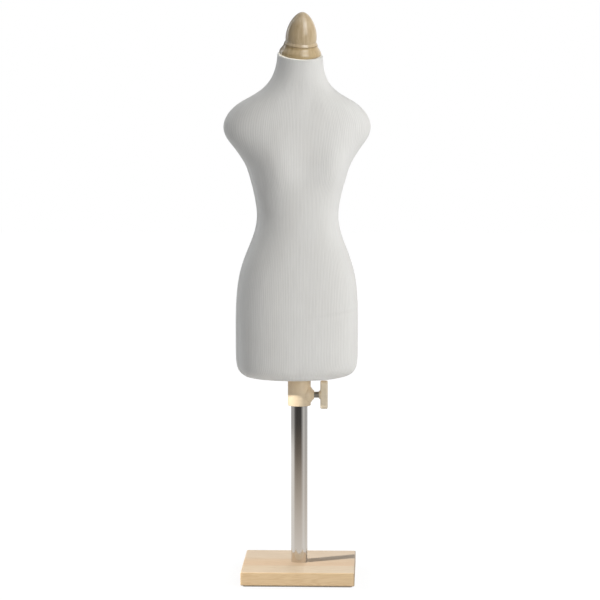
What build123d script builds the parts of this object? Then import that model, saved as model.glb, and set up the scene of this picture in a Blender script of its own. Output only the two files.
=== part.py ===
from build123d import *
from math import atan2, ceil, cos, degrees, exp, hypot, pi, radians, sin, sqrt
import os

# A half-scale dress form on a wooden base. Millimetres, +Z up. The origin is the middle of the
# base's underside. The pole runs up the Z axis and the clamp's screw points along +X.

# ---- stand ----
base_width = 150.0
base_depth = 150.0
base_thickness = 18.0
base_edge_radius = 1.5
felt_thickness = 1.5
felt_margin = 3.0
pole_diameter = 22.0
pole_wall = 1.2
pole_length = 425.0
pole_socket_depth = 5.0
plug_length = 16.0
bolt_diameter = 8.0
bolt_head_across_flats = 13.0
bolt_head_height = 5.3
washer_diameter = 20.0
washer_thickness = 1.6
bolt_recess_diameter = 22.0
bolt_recess_depth = 7.5
cap_lip_thickness = 3.0
cap_stem_length = 12.0
bolt_end_gap = 1.0

# ---- fits ----
thread_clearance = 0.05
press_clearance = 0.02
running_clearance = 0.08
layer_gap = 0.2
free_gap = 0.3
bolt_hole_clearance = 0.2
cut_margin = 1.0

# ---- clamp collar, guide bush and clamp screw ----
collar_bottom_height = 231.0
collar_diameter = 30.6
collar_edge_radius = 0.8
collar_bore_clearance = 0.4
collar_flange_diameter = 62.0
collar_flange_thickness = 4.0
bush_wall = 2.4
bush_length = 20.0
bush_flange_width = 6.0
bush_flange_thickness = 2.0
retainer_lid_thickness = 2.2
collar_screw_circle = 48.0
collar_screw_count = 4
collar_screw_diameter = 3.5
collar_screw_head_diameter = 7.0
collar_screw_head_height = 2.4
collar_screw_head_round = 1.0
collar_screw_bite = 9.0
clamp_height = 245.3
boss_reach = 19.8
boss_root_radius = 13.3
boss_shoulder_radius = 11.8
boss_tip_radius = 5.6
boss_sink = 1.0
clamp_screw_diameter = 8.0
clamp_pad_diameter = 9.6
clamp_pad_thickness = 2.2
clamp_pad_travel = 1.5
screw_tip_diameter = 4.0
screw_tip_length = 1.2
knob_hub_reach = 26.2
knob_face_reach = 28.2
knob_thickness = 9.8
knob_length = 38.2
knob_width = 13.0
knob_end_width = 9.0
knob_hub_radius = 7.0
knob_edge_radius = 1.8
knob_screw_depth = 8.0
knob_hub_wall = 1.0

# ---- torso: heights are above the torso's lowest edge ----
form_bottom_height = 268.0
form_turn = 15.0
hip_height = 60.0
waist_height = 217.0
chest_height = 284.0
shoulder_height = 333.0
shoulder_rise = 53.0
neck_length = 43.3
neck_tilt = 16.0
hem_half_width = 81.0
hip_half_width = 82.0
waist_half_width = 54.0
chest_half_width = 70.0
shoulder_half_width = 99.5
neck_root_half_width = 46.0
neck_top_half_width = 30.0
hip_front = 45.0
hip_back = 67.0
waist_front = 40.0
waist_back = 43.5
chest_front = 41.0
chest_back = 50.5
shoulder_front = 39.5
shoulder_back = 51.5
neck_root_front = 33.0
neck_root_back = 34.5
neck_top_front = 34.0
neck_top_back = 24.0
hip_middle = 16.0
waist_middle = 13.0
chest_middle = 9.0
shoulder_middle = 12.0
neck_root_middle = 6.0
hip_squareness = 2.4
waist_squareness = 2.3
shoulder_squareness = 2.2
neck_squareness = 2.0
bust_height = 277.0
bust_rise = 9.0
bust_spacing = 80.0
bust_spread = 18.0
bust_slope_above = 25.0
bust_slope_below = 17.0
spine_depth = 3.0
spine_spread = 15.0
spine_hollow_drop = 20.0
bottom_edge_radius = 19.0
cover_thickness = 1.0
foam_thickness = 2.4
shell_thickness = 4.0
hem_turn_in = 9.0
opening_margin = 1.0
bottom_plate_thickness = 12.0
neck_plate_thickness = 12.0
staple_count = 24
staple_width = 9.0
staple_wire = 0.6

# ---- neck cap and finial ----
neck_cap_radius = 27.6
neck_cap_bottom_radius = 25.8
neck_cap_top_radius = 22.4
neck_cap_height = 13.7
finial_radius = 20.6
finial_height = 43.3
finial_foot_radius = 21.9
finial_foot_round = 1.3
finial_waist_radius = 20.1
finial_waist_height = 4.4
stud_diameter = 8.0
stud_grip = 20.0
stud_end = 2.0
stud_end_gap = 1.0
stud_chamfer = 0.6
tee_nut_flange_diameter = 22.0
tee_nut_flange_thickness = 1.4
tee_nut_barrel_diameter = 10.0
tee_nut_barrel_length = 8.0

# ---- sizes that follow from the ones above ----
base_top = felt_thickness + base_thickness
pole_radius = pole_diameter / 2
pole_bore_radius = pole_radius - pole_wall
pole_bottom = base_top - pole_socket_depth
pole_top = pole_bottom + pole_length
plate_bottom = form_bottom_height + cover_thickness + layer_gap
plate_top = plate_bottom + bottom_plate_thickness
flange_top = plate_top + collar_flange_thickness
collar_radius = collar_diameter / 2
collar_bore_radius = pole_radius + collar_bore_clearance
bush_inner_radius = pole_radius + running_clearance
bush_outer_radius = bush_inner_radius + bush_wall
bush_recess_radius = bush_outer_radius + running_clearance
bush_recess_bottom = flange_top - bush_length - free_gap
bush_flange_radius = bush_outer_radius + bush_flange_width
retainer_recess_depth = bush_flange_thickness + 2 * free_gap
retainer_thickness = retainer_recess_depth + retainer_lid_thickness
retainer_top = flange_top + retainer_thickness
screw_root_radius = clamp_screw_diameter / 2
pad_face_reach = pole_radius + running_clearance
pad_back_reach = pad_face_reach + clamp_pad_thickness
pad_pocket_reach = pad_back_reach + clamp_pad_travel + running_clearance
neck_axis_offset = (neck_top_front - neck_top_back) / 2
tee_nut_barrel_top = tee_nut_barrel_length - neck_plate_thickness
foam_start = cover_thickness + layer_gap
shell_start = foam_start + foam_thickness + layer_gap
shell_end = shell_start + shell_thickness
neck_root_height = shoulder_height + shoulder_rise
neck_top_height = neck_root_height + neck_length
neck_overrun = neck_top_half_width * 0.75
station_top = neck_top_height + neck_overrun
opening_inset = bottom_edge_radius + opening_margin
# The largest steps between the torso's sections, smaller where its shape changes faster.
hip_station_spacing = 30.0
waist_station_spacing = 17.0
shoulder_station_spacing = 11.5
neck_station_spacing = 14.0


def mix(low, high, share):
    return low + share * (high - low)


def rise(low, high, shares):
    """Points between two levels, each given as how far up and how far across it lies."""
    return [(mix(low[0], high[0], up), mix(low[1], high[1], across)) for up, across in shares]


def smooth_profile(points):
    """A smooth curve of one torso measure over height, through the given points."""

    def slope(i):
        if i == 0:
            return 0.0
        if i == len(points) - 1:
            return (points[i][1] - points[i - 1][1]) / (points[i][0] - points[i - 1][0])
        return (points[i + 1][1] - points[i - 1][1]) / (points[i + 1][0] - points[i - 1][0])

    def value(height):
        height = min(max(height, points[0][0]), points[-1][0])
        i = 0
        while i < len(points) - 2 and height > points[i + 1][0]:
            i += 1
        span = points[i + 1][0] - points[i][0]
        u = (height - points[i][0]) / span
        start_part = (1 + 2 * u) * (1 - u) ** 2 * points[i][1] + u * (1 - u) ** 2 * span * slope(i)
        end_part = u * u * (3 - 2 * u) * points[i + 1][1] - u * u * (1 - u) * span * slope(i + 1)
        return start_part + end_part

    return value


def half_width_profile():
    hem = (0.0, hem_half_width)
    hip = (hip_height, hip_half_width)
    waist = (waist_height, waist_half_width)
    chest = (chest_height, chest_half_width)
    shoulder = (shoulder_height, shoulder_half_width)
    neck_root = (neck_root_height, neck_root_half_width)
    neck_top = (neck_top_height, neck_top_half_width)
    points = [hem, hip]
    points += rise(hip, waist, [(0.27, 0.02), (0.44, 0.11), (0.57, 0.27), (0.71, 0.55), (0.85, 0.86)])
    points += [waist]
    points += rise(waist, chest, [(0.36, 0.21), (0.67, 0.54)])
    points += [chest]
    points += rise(chest, shoulder, [(0.43, 0.47), (0.76, 0.89)])
    points += [shoulder]
    points += rise(shoulder, neck_root, [(0.23, 0.04), (0.43, 0.175), (0.62, 0.39), (0.81, 0.735)])
    points += [neck_root]
    points += rise(neck_root, neck_top, [(0.27, 0.56), (0.64, 0.9)])
    points += [neck_top, (station_top, neck_top_half_width)]
    return smooth_profile(points)


def depth_profile(hip, waist, chest, shoulder, neck_root, neck_top):
    """How far the torso reaches from the pole's axis, to the front or to the back."""
    neck_lean = (neck_top - neck_root) / (neck_top_height - neck_root_height)
    points = [(0.0, hip)]
    points += [(hip_height, hip)]
    points += [(mix(hip_height, waist_height, 0.5), mix(hip, waist, 0.4))]
    points += [(waist_height, waist)]
    points += [(chest_height, chest)]
    points += [(shoulder_height, shoulder)]
    points += [(mix(shoulder_height, neck_root_height, 0.62), mix(shoulder, neck_root, 0.66))]
    points += [(neck_root_height, neck_root)]
    points += [(neck_top_height, neck_top)]
    points += [(station_top, neck_top + neck_lean * (station_top - neck_top_height))]
    return smooth_profile(points)


half_width_at = half_width_profile()
front_at = depth_profile(
    hip_front, waist_front, chest_front, shoulder_front, neck_root_front, neck_top_front
)
back_at = depth_profile(
    hip_back, waist_back, chest_back, shoulder_back, neck_root_back, neck_top_back
)
# How far the widest line of a section lies behind the pole's axis.
middle_at = smooth_profile([
    (0.0, hip_middle),
    (waist_height, waist_middle),
    (chest_height, chest_middle),
    (shoulder_height, shoulder_middle),
    (neck_root_height, neck_root_middle),
    (neck_top_height, -neck_axis_offset),
    (station_top, -neck_axis_offset),
])
# The exponent of a section's outline: 2 is an ellipse and more is squarer.
squareness_at = smooth_profile([
    (0.0, hip_squareness),
    (hip_height, hip_squareness),
    (waist_height, waist_squareness),
    (shoulder_height, shoulder_squareness),
    (neck_root_height, neck_squareness),
    (station_top, neck_squareness),
])


def torso_outline_point(height, angle):
    """A point of the torso's outer surface; the angle turns anticlockwise from +X, seen from above."""
    across = cos(angle)
    along = sin(angle)
    middle = middle_at(height)
    reach = back_at(height) - middle if along > 0 else front_at(height) + middle
    power = squareness_at(height)
    size = (abs(across) ** power + abs(along) ** power) ** (-1 / power)
    x = half_width_at(height) * size * across
    y = middle + reach * size * along
    if along < 0:
        slope = bust_slope_above if height > bust_height else bust_slope_below
        lift = exp(-(((height - bust_height) / slope) ** 2) / 2)
        left_lobe = exp(-(((x - bust_spacing / 2) / bust_spread) ** 2) / 2)
        right_lobe = exp(-(((x + bust_spacing / 2) / bust_spread) ** 2) / 2)
        y -= bust_rise * lift * (left_lobe + right_lobe) * min(1.0, -2 * along)
    else:
        level = (height - chest_height + spine_hollow_drop) / (shoulder_height - waist_height)
        y -= spine_depth * exp(-((x / spine_spread) ** 2) / 2) * exp(-(level**2) * 2) * min(1.0, 2 * along)
    return x, y


def torso_inset_point(height, angle, inset):
    """The outline's point moved inward, square to the outline."""
    step = 1e-3
    x, y = torso_outline_point(height, angle)
    next_x, next_y = torso_outline_point(height, angle + step)
    last_x, last_y = torso_outline_point(height, angle - step)
    length = hypot(next_x - last_x, next_y - last_y)
    return x - (next_y - last_y) / length * inset, y + (next_x - last_x) / length * inset


def torso_wire(outline_height, inset, height):
    """A closed outline from the middle of the back. Even parameters give all outlines the same knots."""
    points_around = 32
    points = []
    for i in range(points_around):
        angle = pi / 2 + 2 * pi * i / points_around
        x, y = torso_inset_point(outline_height, angle, inset)
        points.append(Vector(x, y, height))
    steps = [float(i) for i in range(points_around + 1)]
    return Wire([Edge.make_spline(points, periodic=True, parameters=steps)])


def levels(low, high, spacing):
    """Evenly spaced heights above the low one, up to the high one."""
    count = ceil((high - low) / spacing)
    return [mix(low, high, i / count) for i in range(1, count + 1)]


def torso_solid(depth):
    """The solid inside the torso's surface moved in by a depth, with its rounded bottom edge."""
    wires = []
    for i in range(5):
        turn = pi / 2 * i / 5
        edge_height = bottom_edge_radius - (bottom_edge_radius - depth) * cos(turn)
        edge_inset = bottom_edge_radius - (bottom_edge_radius - depth) * sin(turn)
        wires.append(torso_wire(edge_height, edge_inset, edge_height))
    heights = [bottom_edge_radius]
    heights += levels(bottom_edge_radius, waist_height, hip_station_spacing)
    heights += levels(waist_height, chest_height, waist_station_spacing)
    heights += levels(chest_height, neck_root_height, shoulder_station_spacing)
    heights += levels(neck_root_height, station_top + depth, neck_station_spacing)
    wires += [torso_wire(height, depth, height) for height in heights]
    return Solid.make_loft(wires)


def opening_prism(inset, bottom, height):
    """A straight prism on the outline of the torso's bottom edge, moved inward."""
    face = Face(torso_wire(bottom_edge_radius, inset, bottom))
    return Solid.extrude(face, Vector(0, 0, height))


def neck_frame():
    """The plane of the neck's top: its normal is the axis of the neck cap and the finial."""
    lean = radians(neck_tilt)
    return Plane(
        origin=(0, -neck_axis_offset, neck_top_height),
        x_dir=(1, 0, 0),
        z_dir=(0, -sin(lean), cos(lean)),
    )


def above_neck(drop):
    """Everything above the neck's top plane, lowered along its axis by a drop."""
    size = 2 * shoulder_half_width
    block = Box(size, size, size, align=(Align.CENTER, Align.CENTER, Align.MIN))
    return neck_frame().location * Pos(0, 0, -drop) * block


def on_stand(shape):
    """Moves a piece of the torso from its own heights to its place on the pole."""
    return Pos(0, 0, form_bottom_height) * Rot(0, 0, form_turn) * shape


def on_neck(shape):
    """Moves a piece from the neck axis to its place on the pole."""
    return on_stand(neck_frame().location * shape)


def disc(radius, bottom, top):
    return Pos(0, 0, bottom) * Cylinder(radius, top - bottom, align=(Align.CENTER, Align.CENTER, Align.MIN))


def ring(outer, inner, bottom, top):
    return disc(outer, bottom, top) - disc(inner, bottom - cut_margin, top + cut_margin)


def hexagon(across_flats, bottom, height):
    corner_radius = across_flats / 2 / cos(pi / 6)
    return extrude(Plane.XY.offset(bottom) * RegularPolygon(corner_radius, 6), height)


def turned(profile_edges):
    """A turned piece: its half profile, closed on the axis, swept round +Z."""
    face = make_face(profile_edges)
    return revolve(face, Axis.Z)


# ---- stand ----
def make_base_board():
    board = Pos(0, 0, felt_thickness + base_thickness / 2) * Box(base_width, base_depth, base_thickness)
    board = fillet(board.edges(), base_edge_radius)
    recess_top = felt_thickness + bolt_recess_depth
    board -= disc(bolt_recess_diameter / 2, 0, recess_top)
    board -= disc(bolt_diameter / 2 + bolt_hole_clearance, 0, base_top)
    board -= disc(pole_radius + press_clearance, pole_bottom, base_top + cut_margin)
    return board


def make_base_felt():
    width = base_width - 2 * felt_margin
    depth = base_depth - 2 * felt_margin
    sheet = extrude(RectangleRounded(width, depth, felt_margin), felt_thickness)
    return sheet


def make_base_washer():
    top = felt_thickness + bolt_recess_depth
    return ring(washer_diameter / 2, bolt_diameter / 2 + bolt_hole_clearance, top - washer_thickness, top)


def make_base_bolt():
    head_top = felt_thickness + bolt_recess_depth - washer_thickness
    shank_top = pole_bottom + plug_length - bolt_end_gap
    head = hexagon(bolt_head_across_flats, head_top - bolt_head_height, bolt_head_height)
    return head + disc(bolt_diameter / 2, head_top - bolt_head_height / 2, shank_top)


def make_pole_plug():
    outer = pole_bore_radius - press_clearance
    inner = bolt_diameter / 2 + thread_clearance
    return ring(outer, inner, pole_bottom, pole_bottom + plug_length)


def make_pole_tube():
    return ring(pole_radius, pole_bore_radius, pole_bottom, pole_top)


def make_pole_cap():
    lip = disc(pole_radius, pole_top, pole_top + cap_lip_thickness)
    lip = fillet(lip.edges().group_by(Axis.Z)[-1], cap_lip_thickness / 2)
    stem_top = pole_top + cap_lip_thickness / 3
    return lip + disc(pole_bore_radius - press_clearance, pole_top - cap_stem_length, stem_top)


# ---- guide bush ----
def make_guide_bush():
    bush = disc(bush_outer_radius, flange_top - bush_length, flange_top + free_gap)
    bush += disc(bush_flange_radius, flange_top + free_gap, flange_top + free_gap + bush_flange_thickness)
    return bush - disc(bush_inner_radius, bush_recess_bottom, retainer_top)


# ---- clamp collar and what holds it ----
def clamp_axis(shape):
    """Moves a piece made along +Z to the clamp screw's axis, pointing along +X."""
    return Pos(0, 0, clamp_height) * Rot(0, 90, 0) * shape


def clamp_boss():
    """A boss with hollow flanks that narrows from the sleeve to its tip."""
    start = sqrt(collar_radius**2 - boss_root_radius**2) - boss_sink
    root = (boss_root_radius, 0, start)
    shoulder = (boss_shoulder_radius, 0, collar_radius - boss_sink)
    tip = (boss_tip_radius, 0, boss_reach)
    edges = [
        Edge.make_line((0, 0, start), root),
        Edge.make_spline([root, shoulder, tip], tangents=[(-0.1, 0, 1), (-0.6, 0, 1)]),
        Edge.make_line(tip, (0, 0, boss_reach)),
        Edge.make_line((0, 0, boss_reach), (0, 0, start)),
    ]
    return clamp_axis(turned(edges))


def collar_screw_places():
    return PolarLocations(collar_screw_circle / 2, collar_screw_count, start_angle=45)


def screw_holes(radius, bottom, top):
    """Straight holes for the collar's screws."""
    return [place * disc(radius, bottom, top) for place in collar_screw_places()]


def make_clamp_collar():
    collar = disc(collar_radius, collar_bottom_height, plate_top)
    collar = fillet(collar.edges().group_by(Axis.Z)[0], collar_edge_radius)
    collar += clamp_boss()
    collar += disc(collar_flange_diameter / 2, plate_top, flange_top)
    collar -= disc(collar_bore_radius, collar_bottom_height - cut_margin, flange_top + cut_margin)
    collar -= disc(bush_recess_radius, bush_recess_bottom, flange_top + cut_margin)
    collar -= clamp_axis(disc(clamp_pad_diameter / 2 + running_clearance, 0, pad_pocket_reach))
    collar -= clamp_axis(disc(screw_root_radius + thread_clearance, 0, boss_reach + cut_margin))
    hole_radius = collar_screw_diameter / 2 + bolt_hole_clearance
    for hole in screw_holes(hole_radius, plate_top - cut_margin, flange_top + cut_margin):
        collar -= hole
    return collar


def make_bush_retainer():
    retainer = ring(collar_flange_diameter / 2, bush_outer_radius, flange_top, retainer_top)
    recess_top = flange_top + retainer_recess_depth
    retainer -= disc(bush_flange_radius + free_gap, flange_top - cut_margin, recess_top)
    hole_radius = collar_screw_diameter / 2 + bolt_hole_clearance
    for hole in screw_holes(hole_radius, flange_top - cut_margin, retainer_top + cut_margin):
        retainer -= hole
    return retainer


def make_collar_screws():
    """Pan-head wood screws through the retainer and the collar's flange into the bottom plate."""
    screws = []
    for place in collar_screw_places():
        head = disc(collar_screw_head_diameter / 2, retainer_top, retainer_top + collar_screw_head_height)
        head = fillet(head.edges().group_by(Axis.Z)[-1], collar_screw_head_round)
        shank_top = retainer_top + collar_screw_head_height / 2
        shank = disc(collar_screw_diameter / 2, plate_top - collar_screw_bite, shank_top)
        screws.append(place * (head + shank))
    return Compound(children=screws)


def make_bottom_plate():
    plate = opening_prism(opening_inset + free_gap, 0, bottom_plate_thickness)
    plate = Pos(0, 0, plate_bottom) * Rot(0, 0, form_turn) * plate
    plate -= disc(collar_radius + layer_gap, plate_bottom - cut_margin, plate_top + cut_margin)
    hole_radius = collar_screw_diameter / 2 + thread_clearance
    for hole in screw_holes(hole_radius, plate_top - collar_screw_bite - cut_margin, plate_top + cut_margin):
        plate -= hole
    return plate


# ---- torso layers ----
def torso_layer(outer_depth, inner_depth, edge_inset):
    """One layer of the torso, open at the bottom inside the turned-in edge and at the neck."""
    layer = torso_solid(outer_depth) - torso_solid(inner_depth)
    layer -= opening_prism(edge_inset, outer_depth - cut_margin, inner_depth + 2 * cut_margin)
    return layer - above_neck(0)


def half_space(front):
    """The torso's front or back half, split along its side seams."""
    size = 2 * station_top
    align_y = Align.MAX if front else Align.MIN
    block = Box(size, size, size, align=(Align.CENTER, align_y, Align.MIN))
    seam = mix(middle_at(hip_height), middle_at(shoulder_height), 0.5)
    return Pos(0, seam, 0) * block


def make_shells():
    shell = torso_layer(shell_start, shell_end, opening_inset)
    front = shell & half_space(True)
    back = shell & half_space(False)
    return on_stand(front), on_stand(back)


def make_foam_layer():
    return on_stand(torso_layer(foam_start, foam_start + foam_thickness, opening_inset))


def make_cover():
    return on_stand(torso_layer(0, cover_thickness, bottom_edge_radius + hem_turn_in))


def make_hem_staples():
    """Staples that hold the cover's turned-in hem to the bottom plate."""
    staples = []
    inset = bottom_edge_radius + hem_turn_in / 2
    for i in range(staple_count):
        angle = 2 * pi * (i + 0.5) / staple_count
        x, y = torso_inset_point(bottom_edge_radius, angle, inset)
        next_x, next_y = torso_inset_point(bottom_edge_radius, angle + 0.01, inset)
        direction = degrees(atan2(next_y - y, next_x - x))
        bar = Pos(0, 0, -staple_wire / 2) * Box(staple_width, staple_wire, staple_wire)
        staples.append(Pos(x, y, 0) * Rot(0, 0, direction) * bar)
    return on_stand(Compound(children=staples))


# ---- neck ----
def make_neck_plate():
    plate = torso_solid(shell_end + layer_gap) - above_neck(0)
    plate &= above_neck(neck_plate_thickness)
    frame = neck_frame().location
    cut_bottom = -neck_plate_thickness - cut_margin
    plate -= frame * disc(stud_diameter / 2 + bolt_hole_clearance, cut_bottom, cut_margin)
    plate -= frame * disc(tee_nut_barrel_diameter / 2 + press_clearance, cut_bottom, tee_nut_barrel_top)
    return on_stand(plate)


def make_tee_nut():
    bottom = -neck_plate_thickness - tee_nut_flange_thickness
    nut = disc(tee_nut_flange_diameter / 2, bottom, -neck_plate_thickness)
    nut += disc(tee_nut_barrel_diameter / 2, bottom, tee_nut_barrel_top)
    return on_neck(nut - disc(stud_diameter / 2 + thread_clearance, bottom - cut_margin, cut_margin))


def make_finial_stud():
    bottom = -neck_plate_thickness - tee_nut_flange_thickness - stud_end
    top = neck_cap_height + stud_grip - stud_end_gap
    stud = disc(stud_diameter / 2, bottom, top)
    return on_neck(chamfer(stud.edges(), stud_chamfer))


def make_neck_cap():
    """A turned ring with a rounded foot and a flank that closes in towards the finial."""
    flank = [
        (neck_cap_bottom_radius, 0, 0),
        (neck_cap_radius, 0, 0.19 * neck_cap_height),
        (mix(neck_cap_top_radius, neck_cap_radius, 0.62), 0, 0.52 * neck_cap_height),
        (neck_cap_top_radius, 0, neck_cap_height),
    ]
    edges = [
        Edge.make_line((0, 0, 0), flank[0]),
        Edge.make_spline(flank),
        Edge.make_line(flank[-1], (0, 0, neck_cap_height)),
        Edge.make_line((0, 0, neck_cap_height), (0, 0, 0)),
    ]
    cap = turned(edges)
    cap -= disc(stud_diameter / 2 + bolt_hole_clearance, -cut_margin, neck_cap_height + cut_margin)
    return on_neck(cap)


def make_finial():
    """A turned egg that narrows to a blunt tip, on a flared foot that carries on the neck cap's flank."""
    seat = (finial_foot_radius - finial_foot_round, 0, 0)
    foot = (finial_foot_radius, 0, finial_foot_round)
    waist = (finial_waist_radius, 0, finial_waist_height)
    belly_height = mix(finial_waist_height, finial_height, 0.11)
    belly = (finial_radius, 0, belly_height)
    tip = (0, 0, finial_height)
    belly_pull = (finial_radius, 0, mix(belly_height, finial_height, 0.5))
    tip_pull = (0.42 * finial_radius, 0, finial_height)
    edges = [
        Edge.make_line((0, 0, 0), seat),
        Edge.make_bezier(seat, (finial_foot_radius, 0, 0), foot),
        Edge.make_line(foot, waist),
        Edge.make_bezier(waist, (finial_radius, 0, mix(finial_waist_height, belly_height, 0.4)), belly),
        Edge.make_bezier(belly, belly_pull, tip_pull, tip),
        Edge.make_line(tip, (0, 0, 0)),
    ]
    egg = turned(edges)
    egg -= disc(stud_diameter / 2 + thread_clearance, -cut_margin, stud_grip)
    return on_neck(Pos(0, 0, neck_cap_height) * egg)


# ---- clamp screw ----
def make_clamp_pad():
    """The pad at the screw's tip: its face is hollowed to the pole and its back takes the tip."""
    pad = clamp_axis(disc(clamp_pad_diameter / 2, pole_radius - clamp_pad_thickness, pad_back_reach))
    pad -= disc(pad_face_reach, clamp_height - clamp_pad_diameter, clamp_height + clamp_pad_diameter)
    socket_radius = screw_tip_diameter / 2 + running_clearance
    socket_start = pad_back_reach - screw_tip_length - running_clearance
    return pad - clamp_axis(disc(socket_radius, socket_start, pad_back_reach + cut_margin))


def make_clamp_screw():
    tip = disc(screw_tip_diameter / 2, pad_back_reach - screw_tip_length, pad_back_reach + screw_tip_length)
    rod = disc(screw_root_radius, pad_back_reach + running_clearance, knob_face_reach + knob_screw_depth)
    return clamp_axis(tip + rod)


def make_clamp_knob():
    """A two-armed knob: a bar with rounded ends, widest at its hub."""
    end = knob_length / 2
    corner_y = knob_end_width / 2
    corner_x = end - corner_y
    waist_y = knob_width / 2
    forward = [(1, 0, 0)] * 3
    backward = [(-1, 0, 0)] * 3
    low_side = [(-corner_x, -corner_y, 0), (0, -waist_y, 0), (corner_x, -corner_y, 0)]
    high_side = [(corner_x, corner_y, 0), (0, waist_y, 0), (-corner_x, corner_y, 0)]
    outline = [
        Edge.make_spline(low_side, tangents=forward),
        Edge.make_three_point_arc(low_side[2], (end, 0, 0), high_side[0]),
        Edge.make_spline(high_side, tangents=backward),
        Edge.make_three_point_arc(high_side[2], (-end, 0, 0), low_side[0]),
    ]
    bar = extrude(make_face(outline), knob_thickness)
    rims = bar.edges().filter_by(GeomType.BSPLINE) + bar.edges().filter_by(GeomType.CIRCLE)
    bar = fillet(rims, knob_edge_radius)
    bar = Pos(0, 0, knob_face_reach) * bar
    hub_height = knob_face_reach - knob_hub_reach + knob_hub_wall
    hub = Cone(screw_root_radius + knob_hub_wall, knob_hub_radius, hub_height)
    hub = Pos(0, 0, knob_hub_reach + hub_height / 2) * hub
    knob = bar + hub
    screw_end = knob_face_reach + knob_screw_depth
    knob -= disc(screw_root_radius + press_clearance, knob_hub_reach - cut_margin, screw_end)
    return clamp_axis(knob)


def make_parts():
    shell_front, shell_back = make_shells()
    return {
        "base_board": make_base_board(),
        "base_felt": make_base_felt(),
        "base_washer": make_base_washer(),
        "base_bolt": make_base_bolt(),
        "pole_plug": make_pole_plug(),
        "pole_tube": make_pole_tube(),
        "pole_cap": make_pole_cap(),
        "guide_bush": make_guide_bush(),
        "clamp_collar": make_clamp_collar(),
        "bush_retainer": make_bush_retainer(),
        "collar_screws": make_collar_screws(),
        "bottom_plate": make_bottom_plate(),
        "shell_front": shell_front,
        "shell_back": shell_back,
        "foam_layer": make_foam_layer(),
        "cover": make_cover(),
        "hem_staples": make_hem_staples(),
        "neck_plate": make_neck_plate(),
        "tee_nut": make_tee_nut(),
        "finial_stud": make_finial_stud(),
        "neck_cap": make_neck_cap(),
        "finial": make_finial(),
        "clamp_pad": make_clamp_pad(),
        "clamp_screw": make_clamp_screw(),
        "clamp_knob": make_clamp_knob(),
    }


os.makedirs("parts", exist_ok=True)
for name, shape in make_parts().items():
    export_step(shape, "parts/" + name + ".step")
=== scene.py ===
import math

import bpy
import numpy as np
from mathutils import Euler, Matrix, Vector
from mathutils.bvhtree import BVHTree


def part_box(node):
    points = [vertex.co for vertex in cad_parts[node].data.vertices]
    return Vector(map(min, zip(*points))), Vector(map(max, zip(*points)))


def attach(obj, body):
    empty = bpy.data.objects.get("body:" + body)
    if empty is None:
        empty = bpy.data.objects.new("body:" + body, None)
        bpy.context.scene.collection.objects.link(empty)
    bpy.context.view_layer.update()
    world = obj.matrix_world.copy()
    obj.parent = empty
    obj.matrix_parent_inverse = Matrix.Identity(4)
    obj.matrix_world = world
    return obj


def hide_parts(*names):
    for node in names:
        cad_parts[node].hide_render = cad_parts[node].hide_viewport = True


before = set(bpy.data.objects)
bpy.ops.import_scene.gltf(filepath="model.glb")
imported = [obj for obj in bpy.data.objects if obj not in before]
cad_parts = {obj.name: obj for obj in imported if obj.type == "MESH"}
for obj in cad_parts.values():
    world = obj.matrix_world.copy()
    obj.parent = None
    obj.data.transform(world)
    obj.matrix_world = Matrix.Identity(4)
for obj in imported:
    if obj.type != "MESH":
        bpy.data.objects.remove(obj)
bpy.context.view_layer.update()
MM = 0.001

# ---- camera ----
CAMERA_AZIMUTH = math.radians(2.0)
CAMERA_DISTANCE = 2.985
CAMERA_HEIGHT = 0.6334
CAMERA_PITCH = math.radians(5.0)
CAMERA_AIM = math.radians(-0.018)
LENS = 135.0

# ---- torso cover ----
FORM_TURN = math.radians(15.0)
NECK_TILT = math.radians(16.0)
NECK_CENTRE_Y = -5.0 * MM
TORSO_MIDDLE_Y = 11.0 * MM
NECK_ROOT = 386.0 * MM
NECK_TOP = 429.3 * MM
BOTTOM_RADIUS = 19.0 * MM
NECK_EDGE_RADIUS = 1.2 * MM
NECK_EDGE_RINGS = 5
NECK_TURN_IN_RINGS = 4
HEM_TURN_IN = 9.0 * MM
HEM_RINGS = 10
COLUMNS = 480
BODY_ROWS = 250
BOTTOM_ROWS = 22
NECK_ROWS = 30
KEPT_WAVES = 30  # waves kept round each row when the solid's facets are evened out
ROW_BLENDS = 12
LEAST_COVER = 0.75 * MM  # the cloth above the padding, before its seams

# ---- knit, as the cover's map measures it: once round the body, and metres along it ----
RIBS = 180
STITCH = 1.3 * MM

# ---- base board: the glue lines between its three staves ----
FRONT_JOINT = -30.0 * MM
BACK_JOINT = 16.0 * MM

# ---- studio: sizes in metres and lamp colours ----
LAMP_DISTANCE = 2.0
SOFT_BOX = (1.1, 1.3)
LOW_BOX = (1.2, 0.9)
SPOT_BOX = (0.09, 0.09)
STREAK_BOX = (0.12, 1.2)
BOUNCE_BOX = (1.4, 1.4)
COOL_SIDE = (0.97, 0.985, 1.0)
COOL_REAR = (0.93, 0.96, 1.0)
WARM = (1.0, 0.985, 0.96)
FLOOR_REACH = 8.0
CARD_RADIUS = 3.4
CARD_CORNERS = 48
CARD_HEIGHT = 2.8
CARD_RAMP_REACH = 3.5


def grey(value):
    return (value, value, value, 1.0)


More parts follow.
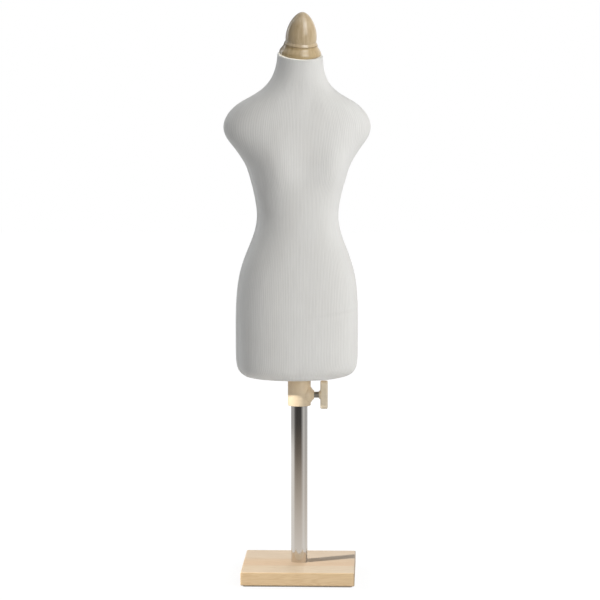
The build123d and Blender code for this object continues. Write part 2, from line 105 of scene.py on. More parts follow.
class Graph:
    """A node tree, with short calls that add nodes and join them."""

    def __init__(self, tree):
        self.nodes = tree.nodes
        self.links = tree.links

    def feed(self, socket, value):
        """Joins an output to a socket, or sets the socket to a plain value."""
        if isinstance(value, bpy.types.NodeSocket):
            self.links.new(value, socket)
        else:
            socket.default_value = value

    def add(self, kind, **values):
        """A node: lower-case names set its settings, the others its inputs, with _ for a space."""
        made = self.nodes.new("ShaderNode" + kind)
        for key, value in values.items():
            if key[0].islower():
                setattr(made, key, value)
            else:
                self.feed(made.inputs[key.replace("_", " ")], value)
        return made

    def math(self, operation, *values):
        made = self.add("Math", operation=operation)
        for socket, value in zip(made.inputs, values):
            self.feed(socket, value)
        return made.outputs[0]

    def length(self, x, y):
        squares = self.math("ADD", self.math("MULTIPLY", x, x), self.math("MULTIPLY", y, y))
        return self.math("SQRT", squares)

    def split(self, vector):
        return self.add("SeparateXYZ", Vector=vector).outputs

    def wave(self, value, period):
        """A wave from 0 to 1 and back over each period of the value."""
        angle = self.math("MULTIPLY", value, 2 * math.pi / period)
        return self.math("MULTIPLY_ADD", self.math("SINE", angle), 0.5, 0.5)

    def spot(self, scale=(1.0, 1.0, 1.0), turn=(0.0, 0.0, 0.0)):
        """The place on the piece in metres, turned and scaled: larger numbers make finer detail."""
        place = self.add("TexCoord").outputs["Object"]
        return self.add("Mapping", Vector=place, Scale=scale, Rotation=turn).outputs[0]

    def noise(self, vector, scale, detail=3.0, roughness=0.5, distortion=0.0):
        made = self.add("TexNoise", Vector=vector, Scale=scale, Detail=detail)
        self.feed(made.inputs["Roughness"], roughness)
        self.feed(made.inputs["Distortion"], distortion)
        return made.outputs["Fac"]

    def ramp(self, value, stops, interpolation="LINEAR"):
        made = self.add("ValToRGB", Fac=value)
        elements = made.color_ramp.elements
        made.color_ramp.interpolation = interpolation
        while len(elements) < len(stops):
            elements.new(0.5)
        for element, (place, color) in zip(elements, stops):
            element.position = place
            element.color = color if len(color) == 4 else (*color, 1.0)
        return made.outputs[0]

    def mix(self, factor, first, second, blend="MIX"):
        made = self.add("Mix", data_type="RGBA", blend_type=blend)
        for index, value in ((0, factor), (6, first), (7, second)):
            self.feed(made.inputs[index], value)
        return made.outputs[2]

    def tinted(self, first, second):
        return self.mix(1.0, first, second, "MULTIPLY")


class Look(Graph):
    """A material and its main shader."""

    def __init__(self, name, color, roughness, **sockets):
        self.material = bpy.data.materials.new(name)
        self.material.use_nodes = True
        super().__init__(self.material.node_tree)
        self.shader = self.nodes["Principled BSDF"]
        self.shader.inputs["Base Color"].default_value = (*color, 1.0)
        self.shader.inputs["Roughness"].default_value = roughness
        for key, value in sockets.items():
            self.shader.inputs[key.replace("_", " ")].default_value = value

    def paint(self, color):
        self.feed(self.shader.inputs["Base Color"], color)

    def relief(self, height, strength, distance):
        made = self.add("Bump", Strength=strength, Distance=distance, Height=height)
        self.feed(self.shader.inputs["Normal"], made.outputs[0])


# ---- materials ----
def knit_material():
    """Off-white jersey: fine ribs that follow the body, with painted shade in their valleys, small
    stitches, uneven yarn and a soft nap.
    """
    look = Look(
        "knit_fabric",
        (0.75, 0.74, 0.71),
        0.92,
        Sheen_Weight=0.12,
        Sheen_Roughness=0.5,
        Specular_IOR_Level=0.2,
    )
    cloth = look.add("UVMap", uv_map="knit").outputs[0]
    around, along = look.split(cloth)[:2]
    rib = look.wave(around, 1 / RIBS)
    stitch = look.wave(along, STITCH)
    yarn_place = look.add("Mapping", Vector=cloth, Scale=(190.0, 30.0, 1.0)).outputs[0]
    yarn = look.noise(yarn_place, 1.0, 3.0, 0.6)
    nap = look.noise(look.spot(), 1500.0, 4.0)
    height = look.math("MULTIPLY_ADD", stitch, 0.4, rib)
    height = look.math("MULTIPLY_ADD", nap, 0.8, height)
    height = look.math("MULTIPLY_ADD", yarn, 2.0, height)
    cloudy = look.noise(look.spot((1.0, 1.0, 0.4)), 26.0)
    color = look.ramp(cloudy, [(0.3, (0.74, 0.727, 0.695)), (0.7, (0.772, 0.763, 0.735))])
    color = look.tinted(color, look.ramp(yarn, [(0.3, grey(0.94)), (0.7, grey(1.0))]))
    # painted shade: the rib valleys are painted a little darker
    color = look.tinted(color, look.ramp(rib, [(0.0, grey(0.93)), (0.7, grey(1.0))]))
    look.paint(color)
    look.relief(height, 0.3, 0.00035)
    return look.material


def turned_wood(name, light, dark, coat):
    """Turned wood with its grain along the neck, pores and soft mottling, under clear lacquer."""
    look = Look(name, light, 0.42, Coat_Weight=coat, Coat_Roughness=0.09, Specular_IOR_Level=0.35)
    turn = (-NECK_TILT, 0.0, -FORM_TURN)
    grain = look.noise(look.spot((1.0, 1.0, 0.14), turn), 230.0, 5.0, 0.6, 0.5)
    pores = look.noise(look.spot((1.0, 1.0, 0.05), turn), 1600.0, 3.0, 0.6)
    mottling = look.noise(look.spot(), 55.0, 2.0)
    share = look.math("MULTIPLY_ADD", pores, 0.3, look.math("MULTIPLY", grain, 0.7))
    color = look.ramp(share, [(0.34, dark), (0.62, light)])
    color = look.tinted(color, look.ramp(mottling, [(0.3, (0.93, 0.90, 0.87)), (0.7, (1.0, 1.0, 1.0))]))
    look.paint(color)
    look.relief(share, 0.12, 0.0002)
    return look.material


def stave_wood():
    """A pale board glued up from three staves, each with its own tint, and end grain at its ends."""
    look = Look("base_wood", (0.72, 0.58, 0.42), 0.5, Coat_Weight=0.12, Coat_Roughness=0.3)
    place = look.add("TexCoord").outputs["Object"]
    x, y, z = look.split(place)
    past_front = look.math("GREATER_THAN", y, FRONT_JOINT)
    stave = look.math("ADD", past_front, look.math("GREATER_THAN", y, BACK_JOINT))
    sideways = look.math("MULTIPLY", stave, 0.83)
    moved = look.add("CombineXYZ", X=sideways, Y=look.math("MULTIPLY", stave, 0.31))
    shift = look.add("VectorMath", operation="ADD")
    look.feed(shift.inputs[0], place)
    look.feed(shift.inputs[1], moved.outputs[0])
    stretched = look.add("Mapping", Vector=shift.outputs[0], Scale=(0.06, 1.0, 1.0)).outputs[0]
    figure = look.noise(stretched, 95.0, 4.0, 0.55, 0.6)
    lines = look.wave(figure, 0.085)
    pores = look.noise(stretched, 900.0, 4.0, 0.7)
    grain = look.math("MULTIPLY_ADD", lines, 0.35, look.math("MULTIPLY", pores, 0.65))
    tints = look.ramp(
        look.math("MULTIPLY", stave, 0.5),
        [(0.0, (0.775, 0.645, 0.485)), (0.3, (0.745, 0.575, 0.405)), (0.8, (0.755, 0.62, 0.475))],
        "CONSTANT",
    )
    color = look.tinted(tints, look.ramp(grain, [(0.25, (0.90, 0.86, 0.80)), (0.65, (1.02, 1.02, 1.01))]))
    drift = look.noise(stretched, 22.0, 1.0)
    color = look.tinted(color, look.ramp(drift, [(0.35, (1.0, 0.96, 0.93)), (0.65, (1.0, 1.0, 1.0))]))
    near = look.math(
        "MINIMUM",
        look.math("ABSOLUTE", look.math("SUBTRACT", y, FRONT_JOINT)),
        look.math("ABSOLUTE", look.math("SUBTRACT", y, BACK_JOINT)),
    )
    glue = look.ramp(look.math("MULTIPLY", near, 1 / MM), [(0.0, grey(0.86)), (0.5, grey(1.0))])
    color = look.tinted(color, glue)
    facing = look.split(look.add("NewGeometry").outputs["True Normal"])
    end = look.math("GREATER_THAN", look.math("ABSOLUTE", facing[0]), 0.7)
    edge = look.math("GREATER_THAN", look.math("ABSOLUTE", facing[1]), 0.7)
    color = look.mix(edge, color, look.tinted(color, (0.90, 0.81, 0.66, 1.0)))
    across = look.math("MULTIPLY_ADD", stave, 0.02, y)
    depth = look.math("ADD", z, 0.03)
    bow = look.length(across, depth)
    wander = look.noise(shift.outputs[0], 60.0, 2.0)
    rings = look.wave(look.math("MULTIPLY_ADD", wander, 0.006, bow), 0.0024)
    speck = look.noise(shift.outputs[0], 1400.0, 2.0)
    end_color = look.ramp(
        look.math("MULTIPLY_ADD", rings, 0.55, look.math("MULTIPLY", speck, 0.45)),
        [(0.2, (0.50, 0.36, 0.21)), (0.8, (0.69, 0.53, 0.35))],
    )
    look.paint(look.mix(end, color, end_color))
    look.relief(grain, 0.1, 0.0002)
    return look.material


def plywood_material():
    """Raw plywood: pale veneer with long grain and faint darker streaks."""
    look = Look("plywood", (0.66, 0.50, 0.33), 0.75)
    stretched = look.spot((0.06, 1.0, 1.0))
    figure = look.wave(look.noise(stretched, 70.0, 4.0, 0.6, 0.5), 0.1)
    pores = look.noise(stretched, 800.0, 4.0, 0.7)
    grain = look.math("MULTIPLY_ADD", figure, 0.35, look.math("MULTIPLY", pores, 0.65))
    look.paint(look.ramp(grain, [(0.25, (0.52, 0.37, 0.22)), (0.7, (0.70, 0.54, 0.36))]))
    look.relief(grain, 0.3, 0.0003)
    return look.material


def speckled(name, color, roughness, shade, scale, bumps, **sockets):
    """A moulded, painted or plated finish with slight mottling and a fine surface texture."""
    look = Look(name, color, roughness, **sockets)
    dark = tuple(shade * value for value in color)
    look.paint(look.ramp(look.noise(look.spot(), scale, 4.0), [(0.3, dark), (0.7, color)]))
    look.relief(look.noise(look.spot(), scale * 9), bumps, 0.0002)
    return look.material


def chrome_material():
    """Polished plate with faint drawing marks along the tube."""
    look = Look("pole_chrome", (0.68, 0.655, 0.62), 0.08, Metallic=1.0)
    marks = look.noise(look.spot((400.0, 400.0, 3.0)), 1.0)
    look.feed(look.shader.inputs["Roughness"], look.ramp(marks, [(0.3, grey(0.05)), (0.75, grey(0.12))]))
    look.relief(marks, 0.02, 0.0001)
    return look.material


def threaded_steel(name, pitch):
    """Bare screw steel: the thread is a row of fine ridges along the screw, with painted shade in the
    grooves between them.
    """
    look = Look(name, (0.36, 0.35, 0.33), 0.35, Metallic=1.0)
    ridge = look.wave(look.split(look.spot())[0], pitch)
    # painted shade: the grooves between the ridges are painted near black
    look.paint(look.ramp(ridge, [(0.0, (0.10, 0.10, 0.09)), (0.8, (0.42, 0.41, 0.39))]))
    look.relief(ridge, 0.6, 0.0004)
    return look.material


def felt_material():
    look = Look("base_felt", (0.42, 0.38, 0.33), 0.95, Sheen_Weight=0.3)
    fibres = look.noise(look.spot(), 900.0, 6.0, 0.7)
    look.paint(look.ramp(fibres, [(0.3, (0.33, 0.295, 0.25)), (0.7, (0.48, 0.44, 0.385))]))
    look.relief(fibres, 0.6, 0.0005)
    return look.material


# ---- torso cover mesh ----
def from_torso(point):
    """From the torso's own axes, which are turned about the pole, to the frame's."""
    return Euler((0, 0, FORM_TURN)).to_matrix() @ Vector(point)


def cover_rows(bottom):
    """Each row's height, its rays' slope and their tilt towards the back."""
    rows = []
    knee = bottom + 2.2 * BOTTOM_RADIUS
    steepest = math.radians(36.0)
    for i in range(BOTTOM_ROWS):
        share = 1.0 - i / BOTTOM_ROWS
        rows.append((knee, -math.tan(steepest * share), 0.0))
    for i in range(BODY_ROWS):
        share = i / BODY_ROWS
        rows.append((knee + share * (bottom + NECK_ROOT - knee), 0.0, 0.0))
    for i in range(NECK_ROWS + 1):
        share = i / NECK_ROWS
        height = bottom + NECK_ROOT + share * (NECK_TOP - NECK_EDGE_RADIUS - NECK_ROOT)
        rows.append((height, 0.0, share * math.tan(NECK_TILT)))
    return rows


def cast_cover(tree, rows):
    """Points where rays from outside meet the torso's surface, as rows by columns."""
    points = np.zeros((len(rows), COLUMNS, 3))
    reach = 0.3
    core = 0.03  # how far out a point is put if its ray should meet nothing
    for r, (height, slope, tilt) in enumerate(rows):
        neck_share = tilt / math.tan(NECK_TILT)
        middle = TORSO_MIDDLE_Y + neck_share * (NECK_CENTRE_Y - TORSO_MIDDLE_Y)
        centre = Vector((0, middle, height))
        for c in range(COLUMNS):
            angle = 2 * math.pi * c / COLUMNS
            direction = Vector((math.cos(angle), math.sin(angle), slope + tilt * math.sin(angle)))
            start = from_torso(centre + direction * reach)
            hit = tree.ray_cast(start, from_torso(-direction).normalized())[0]
            points[r, c] = hit if hit else from_torso(centre + direction * core)
    return points


def smooth_grid(points):
    """Evens out the solid's flat facets: keeps the slow waves round each row, then blends the rows."""
    spectrum = np.fft.rfft(points, axis=1)
    spectrum[:, KEPT_WAVES:] = 0
    points = np.fft.irfft(spectrum, COLUMNS, axis=1)
    for _ in range(ROW_BLENDS):
        points[1:-1] = 0.5 * points[1:-1] + 0.25 * (points[2:] + points[:-2])
    return points


def grid_normals(points):
    across = np.roll(points, -1, 1) - np.roll(points, 1, 1)
    up = np.gradient(points, axis=0)
    normals = np.cross(across, up)
    return normals / np.linalg.norm(normals, axis=2, keepdims=True)


def column_angles():
    return 2 * np.pi * np.arange(COLUMNS) / COLUMNS


def wrap(angle):
    return (angle + np.pi) % (2 * np.pi) - np.pi


def hump(distance, width):
    return np.exp(-((distance / width) ** 2))


def add_seams(points, normals):
    """Side seams: a fine valley with a raised fold beside it and small puckers."""
    girth = np.linalg.norm(np.roll(points, -1, 1) - points, axis=2).sum(1, keepdims=True)
    heights = points[:, :, 2]
    for place in (0.0, math.pi):
        distance = wrap(column_angles() - place)[None, :] / (2 * np.pi) * girth
        valley = -0.55 * MM * hump(distance, 0.9 * MM)
        fold = 0.30 * MM * hump(distance - 2.6 * MM, 1.6 * MM)
        pucker = 0.10 * MM * np.sin(heights * 2 * np.pi / (3.1 * MM)) * hump(distance, 3.0 * MM)
        points = points + normals * (valley + fold + pucker)[:, :, None]
    return points


def add_creases(points, normals, bottom):
    """Slack in the knit: a faint slanting crease on one hip and soft drag lines."""
    angles = column_angles()[None, :]
    heights = points[:, :, 2] - bottom
    hip_angle = wrap(angles - math.radians(-38.0))
    line = heights - (92.0 * MM + 7.0 * MM * hip_angle)
    ridge = hump(line, 3.0 * MM) - 0.7 * hump(line + 5.0 * MM, 4.0 * MM)
    crease = 0.5 * MM * hump(hip_angle, 0.55) * ridge
    folds = np.sin(angles * 9.0 + 1.3)
    drag = 0.12 * MM * folds * np.sin(heights / (31.0 * MM) + 2.0 * np.sin(angles * 2.0))
    return points + normals * (crease + drag)[:, :, None]


def lift_off_foam(points, normals):
    """Lifts the cloth, gently, wherever the smoothing has drawn it too close to the padding."""
    foam = BVHTree.FromObject(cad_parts["foam_layer"], bpy.context.evaluated_depsgraph_get())
    above = 3.0 * MM
    spreads = 6
    blends = 4
    lift = np.zeros(points.shape[:2])
    for r in range(len(points)):
        for c in range(COLUMNS):
            out = Vector(normals[r, c])
            start = Vector(points[r, c]) + out * above
            hit, _, _, depth = foam.ray_cast(start, -out, above + LEAST_COVER)
            if hit:
                lift[r, c] = above + LEAST_COVER - depth
    for i in range(spreads + blends):
        blend = 0.5 * lift[1:-1] + 0.25 * (lift[2:] + lift[:-2])
        lift[1:-1] = np.maximum(lift[1:-1], blend) if i < spreads else blend
        lift = 0.5 * lift + 0.25 * (np.roll(lift, 1, 1) + np.roll(lift, -1, 1))
    return points + normals * lift[:, :, None]


def hem_rings(points, bottom):
    """The fabric turned in under the torso, gathered in small pleats, ending in a cut edge.

    At the middle of the front and back it drops about 5 mm from the lowest row to the hem.
    """
    first = points[0]
    inward = np.array(from_torso((0, TORSO_MIDDLE_Y, bottom)))[None, :] - first
    inward[:, 2] = 0
    inward /= np.linalg.norm(inward, axis=1, keepdims=True)
    angles = column_angles()
    pleats = np.sin(angles * 44.0 + 1.7 * np.sin(angles * 5.0))
    rings = []
    for i in range(HEM_RINGS, 0, -1):
        share = i / HEM_RINGS
        ring = first + inward * (HEM_TURN_IN * share)
        ring[:, 2] = bottom + 0.15 * MM + 0.35 * MM * share * (1.0 + pleats)
        rings.append(ring)
    return np.array(rings)


def neck_rings(points):
    """The fabric folded over the neck's edge in a small round, its end running in under the wooden cap."""
    last = points[-1]
    up = np.array(from_torso((0, -math.sin(NECK_TILT), math.cos(NECK_TILT))))
    inward = last.mean(0) - last
    inward /= np.linalg.norm(inward, axis=1, keepdims=True)
    flattening = 0.85  # the padding's top still shows, about 0.2 mm above this fold
    ring_step = 1.1 * MM
    rings = []
    for i in range(1, NECK_EDGE_RINGS + 1):
        turn = math.pi / 2 * i / NECK_EDGE_RINGS
        fold = inward * (1 - math.cos(turn)) + up * math.sin(turn) * flattening
        rings.append(last + NECK_EDGE_RADIUS * fold)
    edge = rings[-1]
    for i in range(1, NECK_TURN_IN_RINGS + 1):
        rings.append(edge + inward * (ring_step * i))
    return np.array(rings)


def panel_mesh(name, points, first):
    """A grid of quads, some columns of the whole round, with a map round and along the body."""
    rows, columns = points.shape[:2]
    faces = []
    for r in range(rows - 1):
        for c in range(columns - 1):
            corner = r * columns + c
            faces.append((corner, corner + 1, corner + columns + 1, corner + columns))
    mesh = bpy.data.meshes.new(name)
    mesh.from_pydata([tuple(v) for v in points.reshape(-1, 3)], [], faces)
    mesh.update()
    length = np.zeros(rows)
    length[1:] = np.cumsum(np.linalg.norm(np.diff(points, axis=0), axis=2).mean(1))
    corner = np.empty((rows - 1, columns - 1, 4, 2))
    index = first + np.arange(columns - 1)[None, :]
    corner[:, :, 0, 0] = corner[:, :, 3, 0] = index / COLUMNS
    corner[:, :, 1, 0] = corner[:, :, 2, 0] = (index + 1) / COLUMNS
    corner[:, :, 0, 1] = corner[:, :, 1, 1] = length[:-1, None]
    corner[:, :, 2, 1] = corner[:, :, 3, 1] = length[1:, None]
    mesh.uv_layers.new(name="knit").data.foreach_set("uv", corner.ravel())
    mesh.polygons.foreach_set("use_smooth", [True] * len(mesh.polygons))
    return mesh


def make_cover():
    """The front and the back panel of the cover, sewn together down both sides."""
    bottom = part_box("cover")[0].z
    tree = BVHTree.FromObject(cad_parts["cover"], bpy.context.evaluated_depsgraph_get())
    points = smooth_grid(cast_cover(tree, cover_rows(bottom)))
    points = lift_off_foam(points, grid_normals(points))
    normals = grid_normals(points)
    points = add_seams(points, normals)
    points = add_creases(points, normals, bottom)
    points = np.concatenate([hem_rings(points, bottom), points, neck_rings(points)])
    points = np.concatenate([points, points[:, :1]], axis=1)
    cloth = knit_material()
    half = COLUMNS // 2
    panels = []
    for name, first in (("cover_back", 0), ("cover_front", half)):
        mesh = panel_mesh(name, points[:, first : first + half + 1], first)
        mesh.materials.append(cloth)
        piece = bpy.data.objects.new(name, mesh)
        bpy.context.scene.collection.objects.link(piece)
        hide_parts("cover")
        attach(piece, "form")
        panels.append(piece)
    return panels


def dress_nodes():
    """Gives each CAD node its material."""
    beige = (0.68, 0.55, 0.375)
    steel = speckled(
        "steel_hardware", (0.42, 0.42, 0.42), 0.32, shade=0.85, scale=300.0, bumps=0.05, Metallic=1.0
    )
    collar = speckled("collar_paint", beige, 0.38, shade=0.94, scale=160.0, bumps=0.08)
    shell = speckled("shell_plastic", (0.62, 0.61, 0.56), 0.6, shade=0.9, scale=80.0, bumps=0.2)
    plywood = plywood_material()
    finishes = {
        "base_board": stave_wood(),
        "base_felt": felt_material(),
        "base_washer": steel,
        "base_bolt": steel,
        "pole_plug": steel,
        "pole_tube": chrome_material(),
        "pole_cap": speckled("black_plastic", (0.03, 0.03, 0.03), 0.5, shade=0.8, scale=200.0, bumps=0.1),
        "guide_bush": speckled(
            "bush_plastic", (0.72, 0.71, 0.66), 0.4, shade=0.94, scale=120.0, bumps=0.05
        ),
        "clamp_collar": collar,
        "bush_retainer": collar,
        "collar_screws": steel,
        "bottom_plate": plywood,
        "shell_front": shell,
        "shell_back": shell,
        "foam_layer": speckled("foam_padding", (0.80, 0.79, 0.73), 0.95, shade=0.9, scale=900.0, bumps=0.6),
        "hem_staples": steel,
        "neck_plate": plywood,
        "tee_nut": steel,
        "finial_stud": steel,
        "neck_cap": turned_wood("cap_wood", (0.57, 0.435, 0.24), (0.43, 0.31, 0.155), 0.8),
        "finial": turned_wood("finial_wood", (0.60, 0.48, 0.305), (0.47, 0.35, 0.20), 0.8),
        "clamp_pad": speckled(
            "brass_pad", (0.55, 0.40, 0.17), 0.3, shade=0.85, scale=300.0, bumps=0.05, Metallic=1.0
        ),
        "clamp_screw": threaded_steel("screw_steel", 1.0 * MM),
        "clamp_knob": speckled(
            "knob_plastic", (0.75, 0.65, 0.49), 0.36, shade=0.95, scale=160.0, bumps=0.08
        ),
    }
    for name, made in finishes.items():
        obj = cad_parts[name]
        if not obj.data.materials:
            obj.data.materials.append(made)
        for slot in obj.material_slots:
            slot.material = made


# ---- studio ----
def seen_rays(graph):
    """1 where the camera, or a shiny or clear surface, sees the background, and 0 for other light."""
    path = graph.add("LightPath").outputs
    rays = graph.math("MAXIMUM", path["Is Camera Ray"], path["Is Glossy Ray"])
    return graph.math("MAXIMUM", rays, path["Is Transmission Ray"])


def from_centre(graph):
    """Distance from the pole along the floor, and direction about it: 0 behind, 0.5 towards the camera."""
    x, y = graph.split(graph.add("NewGeometry").outputs["Position"])[:2]
    radius = graph.length(x, y)
    angle = graph.math("ARCTAN2", x, graph.math("MULTIPLY", y, -1.0))
    return radius, graph.math("MULTIPLY_ADD", angle, 0.5 / math.pi, 0.5)


def mix_shaders(graph, factor, first, second):
    made = graph.add("MixShader")
    for socket, value in zip(made.inputs, (factor, first, second)):
        graph.feed(socket, value)
    return made.outputs[0]


def stage_piece(name, vertices, faces):
    mesh = bpy.data.meshes.new(name)
    mesh.from_pydata(vertices, [], faces)
    piece = bpy.data.objects.new(name, mesh)
    bpy.context.scene.collection.objects.link(piece)
    return piece


def make_floor():
    """White paper: pale to the lamps, and as seen white, with the object's shadow faint on it; as seen, its
    glow is painted greyer towards the object, a painted shade round it.
    """
    signs = ((-1, -1), (1, -1), (1, 1), (-1, 1))
    corners = [(x * FLOOR_REACH, y * FLOOR_REACH, -0.5 * MM) for x, y in signs]
    floor = stage_piece("floor", corners, [(0, 1, 2, 3)])
    look = Look("floor_paper", (0.62, 0.62, 0.62), 0.9)
    radius = from_centre(look)[0]
    # painted shade: the seen glow is greyer near the object and white further out
    glow_with_painted_shade = look.ramp(radius, [(0.1, grey(0.90)), (0.9, grey(1.0))])
    soft = look.add("BsdfDiffuse", Color=grey(0.14)).outputs[0]
    seen = look.add("AddShader")
    look.feed(seen.inputs[0], look.add("Emission", Color=glow_with_painted_shade).outputs[0])
    look.feed(seen.inputs[1], soft)
    surface = mix_shaders(look, seen_rays(look), look.shader.outputs[0], seen.outputs[0])
    look.feed(look.nodes["Material Output"].inputs["Surface"], surface)
    floor.data.materials.append(look.material)
    return floor


def painted_reflection_card(piece, directions, distances, colors):
    """A card only ever seen as a reflection: its glow is a painted reflection.

    Its cover is a sum of three parts, held in red, green and blue: each part's strength
    by direction times its strength by distance, the distance from 0 to 1 over CARD_RAMP_REACH.
    """
    look = Look(piece.name, (0.03, 0.03, 0.03), 0.9)
    radius, angle = from_centre(look)
    distance = look.math("DIVIDE", radius, CARD_RAMP_REACH)
    sectors = look.split(look.ramp(angle, directions))
    reach = look.split(look.ramp(distance, distances))
    share = look.math("MULTIPLY", sectors[0], reach[0])
    share = look.math("MULTIPLY_ADD", sectors[1], reach[1], share)
    share = look.math("MULTIPLY_ADD", sectors[2], reach[2], share)
    clear = look.add("BsdfTransparent").outputs[0]
    dark = look.add("Emission", Color=look.ramp(distance, colors)).outputs[0]
    look.feed(look.nodes["Material Output"].inputs["Surface"], mix_shaders(look, share, clear, dark))
    piece.data.materials.append(look.material)
    piece.visible_camera = False
    piece.visible_diffuse = False
    piece.visible_transmission = False
    piece.visible_shadow = False


def turn_share(degrees):
    """A direction as seen from above, 0 at the camera and 90 to its right, as from_centre gives it."""
    return degrees / 360.0 + 0.5


def make_cards():
    """Painted reflections which the chrome and lacquer show: a dark cloth round the white paper, warm near
    the pole, and dark flags beyond it.
    """
    turns = np.arange(CARD_CORNERS) * 2 * math.pi / CARD_CORNERS
    ring = [(CARD_RADIUS * math.sin(turn), CARD_RADIUS * math.cos(turn)) for turn in turns]
    lying = stage_piece("painted_reflection_cloth", [(x, y, 1.0 * MM) for x, y in ring], [tuple(range(CARD_CORNERS))])
    cloth_directions = [
        (turn_share(-150), (0.0, 0.0, 0.6)),
        (turn_share(-82), (0.0, 0.0, 0.6)),
        (turn_share(-60), (0.92, 0.0, 0.0)),
        (turn_share(-30), (0.985, 0.0, 0.0)),
        (turn_share(-4), (0.97, 0.0, 0.0)),
        (turn_share(22), (0.98, 0.0, 0.0)),
        (turn_share(40), (0.70, 0.1, 0.0)),
        (turn_share(55), (0.25, 0.25, 0.0)),
        (turn_share(70), (0.0, 0.40, 0.0)),
        (turn_share(92), (0.0, 0.58, 0.0)),
        (turn_share(150), (0.0, 0.50, 0.0)),
    ]
    cloth_distances = [
        (0.03, (0.35, 0.5, 0.4)),
        (0.093, (0.52, 0.75, 0.4)),
        (0.186, (0.74, 0.95, 0.4)),
        (0.303, (0.93, 1.0, 0.4)),
        (0.40, (1.0, 1.0, 1.0)),
    ]
    # painted reflection: warm brown near the pole, going over to near black further out
    painted_reflection_colors = [
        (0.06, (0.45, 0.35, 0.25)),
        (0.16, (0.30, 0.22, 0.14)),
        (0.30, (0.10, 0.07, 0.04)),
        (0.42, (0.03, 0.03, 0.03)),
    ]
    painted_reflection_card(lying, cloth_directions, cloth_distances, painted_reflection_colors)
    wall = [(x, y, 0.0) for x, y in ring] + [(x, y, CARD_HEIGHT) for x, y in ring]
    sides = []
    for i in range(CARD_CORNERS):
        after = (i + 1) % CARD_CORNERS
        sides.append((i, after, CARD_CORNERS + after, CARD_CORNERS + i))
    standing = stage_piece("painted_reflection_flags", wall, sides)
    flag_directions = [
        (turn_share(-147), (0.9, 0.0, 0.0)),
        (turn_share(-142), (0.0, 0.0, 0.0)),
        (turn_share(-124), (0.0, 0.0, 0.0)),
        (turn_share(-118), (0.85, 0.0, 0.0)),
        (turn_share(30), (0.85, 0.0, 0.0)),
        (turn_share(60), (0.5, 0.0, 0.0)),
        (turn_share(120), (0.5, 0.0, 0.0)),
        (turn_share(145), (0.0, 0.0, 0.0)),
    ]
    flag_distances = [(0.0, (1.0, 0.0, 0.0)), (1.0, (1.0, 0.0, 0.0))]
    # painted reflection: flags of an even near black
    painted_flag_reflection = [(0.0, grey(0.04)), (1.0, grey(0.04))]
    painted_reflection_card(standing, flag_directions, flag_distances, painted_flag_reflection)


def make_world():
    """White where it is seen, and a dim even fill for the rest of the light."""
    world = bpy.data.worlds.new("studio")
    bpy.context.scene.world = world
    world.use_nodes = True
    graph = Graph(world.node_tree)
    fill = graph.nodes["Background"]
    fill.inputs["Color"].default_value = (0.96, 0.98, 1.0, 1.0)
    fill.inputs["Strength"].default_value = 0.08
    white = graph.add("Background", Color=grey(1.0), Strength=1.0)
    surface = mix_shaders(graph, seen_rays(graph), fill.outputs[0], white.outputs[0])
    graph.feed(graph.nodes["World Output"].inputs["Surface"], surface)


def lamp_data(name, box, power):
    data = bpy.data.lights.new(name, "AREA")
    data.shape = "RECTANGLE"
    data.size, data.size_y = box
    data.energy = power
    return data


def area_light(name, azimuth, elevation, box, power, color=(1.0, 1.0, 1.0), aim=0.42):
    """A lamp aimed at a height on the pole's axis: azimuth 0 is the camera's side and 90 its right."""
    target = Vector((0.0, 0.0, aim))
    turn, rise = math.radians(azimuth), math.radians(elevation)
    away = Vector((math.sin(turn) * math.cos(rise), -math.cos(turn) * math.cos(rise), math.sin(rise)))
    data = lamp_data(name, box, power)
    data.color = color
    light = bpy.data.objects.new(name, data)
    light.location = target + away * LAMP_DISTANCE
    light.rotation_euler = (-away).to_track_quat("-Z", "Y").to_euler()
    bpy.context.scene.collection.objects.link(light)
    return light


def leave_unlit(light, pieces):
    """The lamp passes these pieces by, though they still cast its shadow."""
    group = bpy.data.collections.new(light.name + "_unlit")
    light.light_linking.receiver_collection = group
    for piece in pieces:
        group.objects.link(piece)
    for member in group.collection_objects:
        member.light_linking.link_state = "EXCLUDE"


def bounce_light(name, place, box, power):
    """What a pale floor sends back up, as a lamp lying on it."""
    light = bpy.data.objects.new(name, lamp_data(name, box, power))
    light.location = place
    light.rotation_euler = (math.pi, 0.0, 0.0)
    light.visible_camera = False
    light.visible_glossy = False
    bpy.context.scene.collection.objects.link(light)
    return light


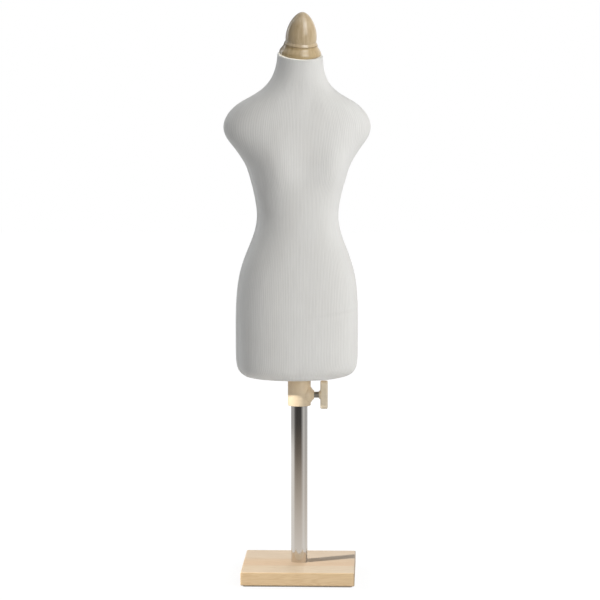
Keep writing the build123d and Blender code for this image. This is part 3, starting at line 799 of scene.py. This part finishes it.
def make_lights(panels, floor):
    """Lamps for the torso and its finial, lamps for the stand under it, and a fill for the collar."""
    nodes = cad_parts
    turned = [nodes["finial"], nodes["neck_cap"]]
    pole = [nodes["pole_tube"]]
    board = [nodes["base_board"], nodes["base_felt"]]
    clamp = [nodes["clamp_collar"], nodes["clamp_screw"], nodes["clamp_knob"]]
    key = area_light("key", 33.0, 22.0, SOFT_BOX, 17.5)
    high = area_light("high", 33.0, 45.0, SOFT_BOX, 10.5)
    side = area_light("side", 112.0, 22.0, SOFT_BOX, 17.5, COOL_SIDE)
    rim = area_light("rim", -132.0, 22.0, SOFT_BOX, 18.0, COOL_REAR)
    edge = area_light("edge", -100.0, 22.0, SOFT_BOX, 5.0, COOL_REAR)
    streak = area_light("streak", -122.0, 22.0, STREAK_BOX, 3.0)
    bounce = bounce_light("bounce", (0.5, -0.3, 0.005), BOUNCE_BOX, 2.2)
    for lamp in (key, high, side, streak, bounce):
        leave_unlit(lamp, board + clamp + pole)
    for lamp in (rim, edge):
        leave_unlit(lamp, board + clamp + pole + turned)
    stand_lamp = area_light("stand_lamp", -64.0, 27.5, SPOT_BOX, 58.0, WARM, aim=0.25)
    stand_right = area_light("stand_right", 50.0, 8.0, LOW_BOX, 13.0, aim=0.15)
    stand_left = area_light("stand_left", -70.0, 8.0, LOW_BOX, 9.0, aim=0.15)
    stand_back = area_light("stand_back", 165.0, 40.0, LOW_BOX, 8.0, aim=0.05)
    for lamp in (stand_lamp, stand_right, stand_left):
        leave_unlit(lamp, panels + pole + turned + [floor])
    leave_unlit(stand_back, panels + pole + [floor])
    collar_fill = area_light("collar_fill", 25.0, 5.0, LOW_BOX, 8.0, aim=0.25)
    leave_unlit(collar_fill, panels + pole + turned + board + [floor])
    for lamp in (side, rim, edge, stand_lamp, stand_right, stand_left, stand_back):
        lamp.visible_glossy = False


def make_camera():
    data = bpy.data.cameras.new("camera")
    data.lens = LENS
    data.sensor_width = 36.0
    camera = bpy.data.objects.new("camera", data)
    camera.location = (
        CAMERA_DISTANCE * math.sin(CAMERA_AZIMUTH),
        -CAMERA_DISTANCE * math.cos(CAMERA_AZIMUTH),
        CAMERA_HEIGHT,
    )
    camera.rotation_euler = (math.pi / 2 - CAMERA_PITCH, 0, CAMERA_AZIMUTH + CAMERA_AIM)
    bpy.context.scene.collection.objects.link(camera)
    bpy.context.scene.camera = camera


bpy.context.scene.view_settings.view_transform = "Standard"
make_camera()
make_world()
panels = make_cover()
dress_nodes()
make_cards()
make_lights(panels, make_floor())
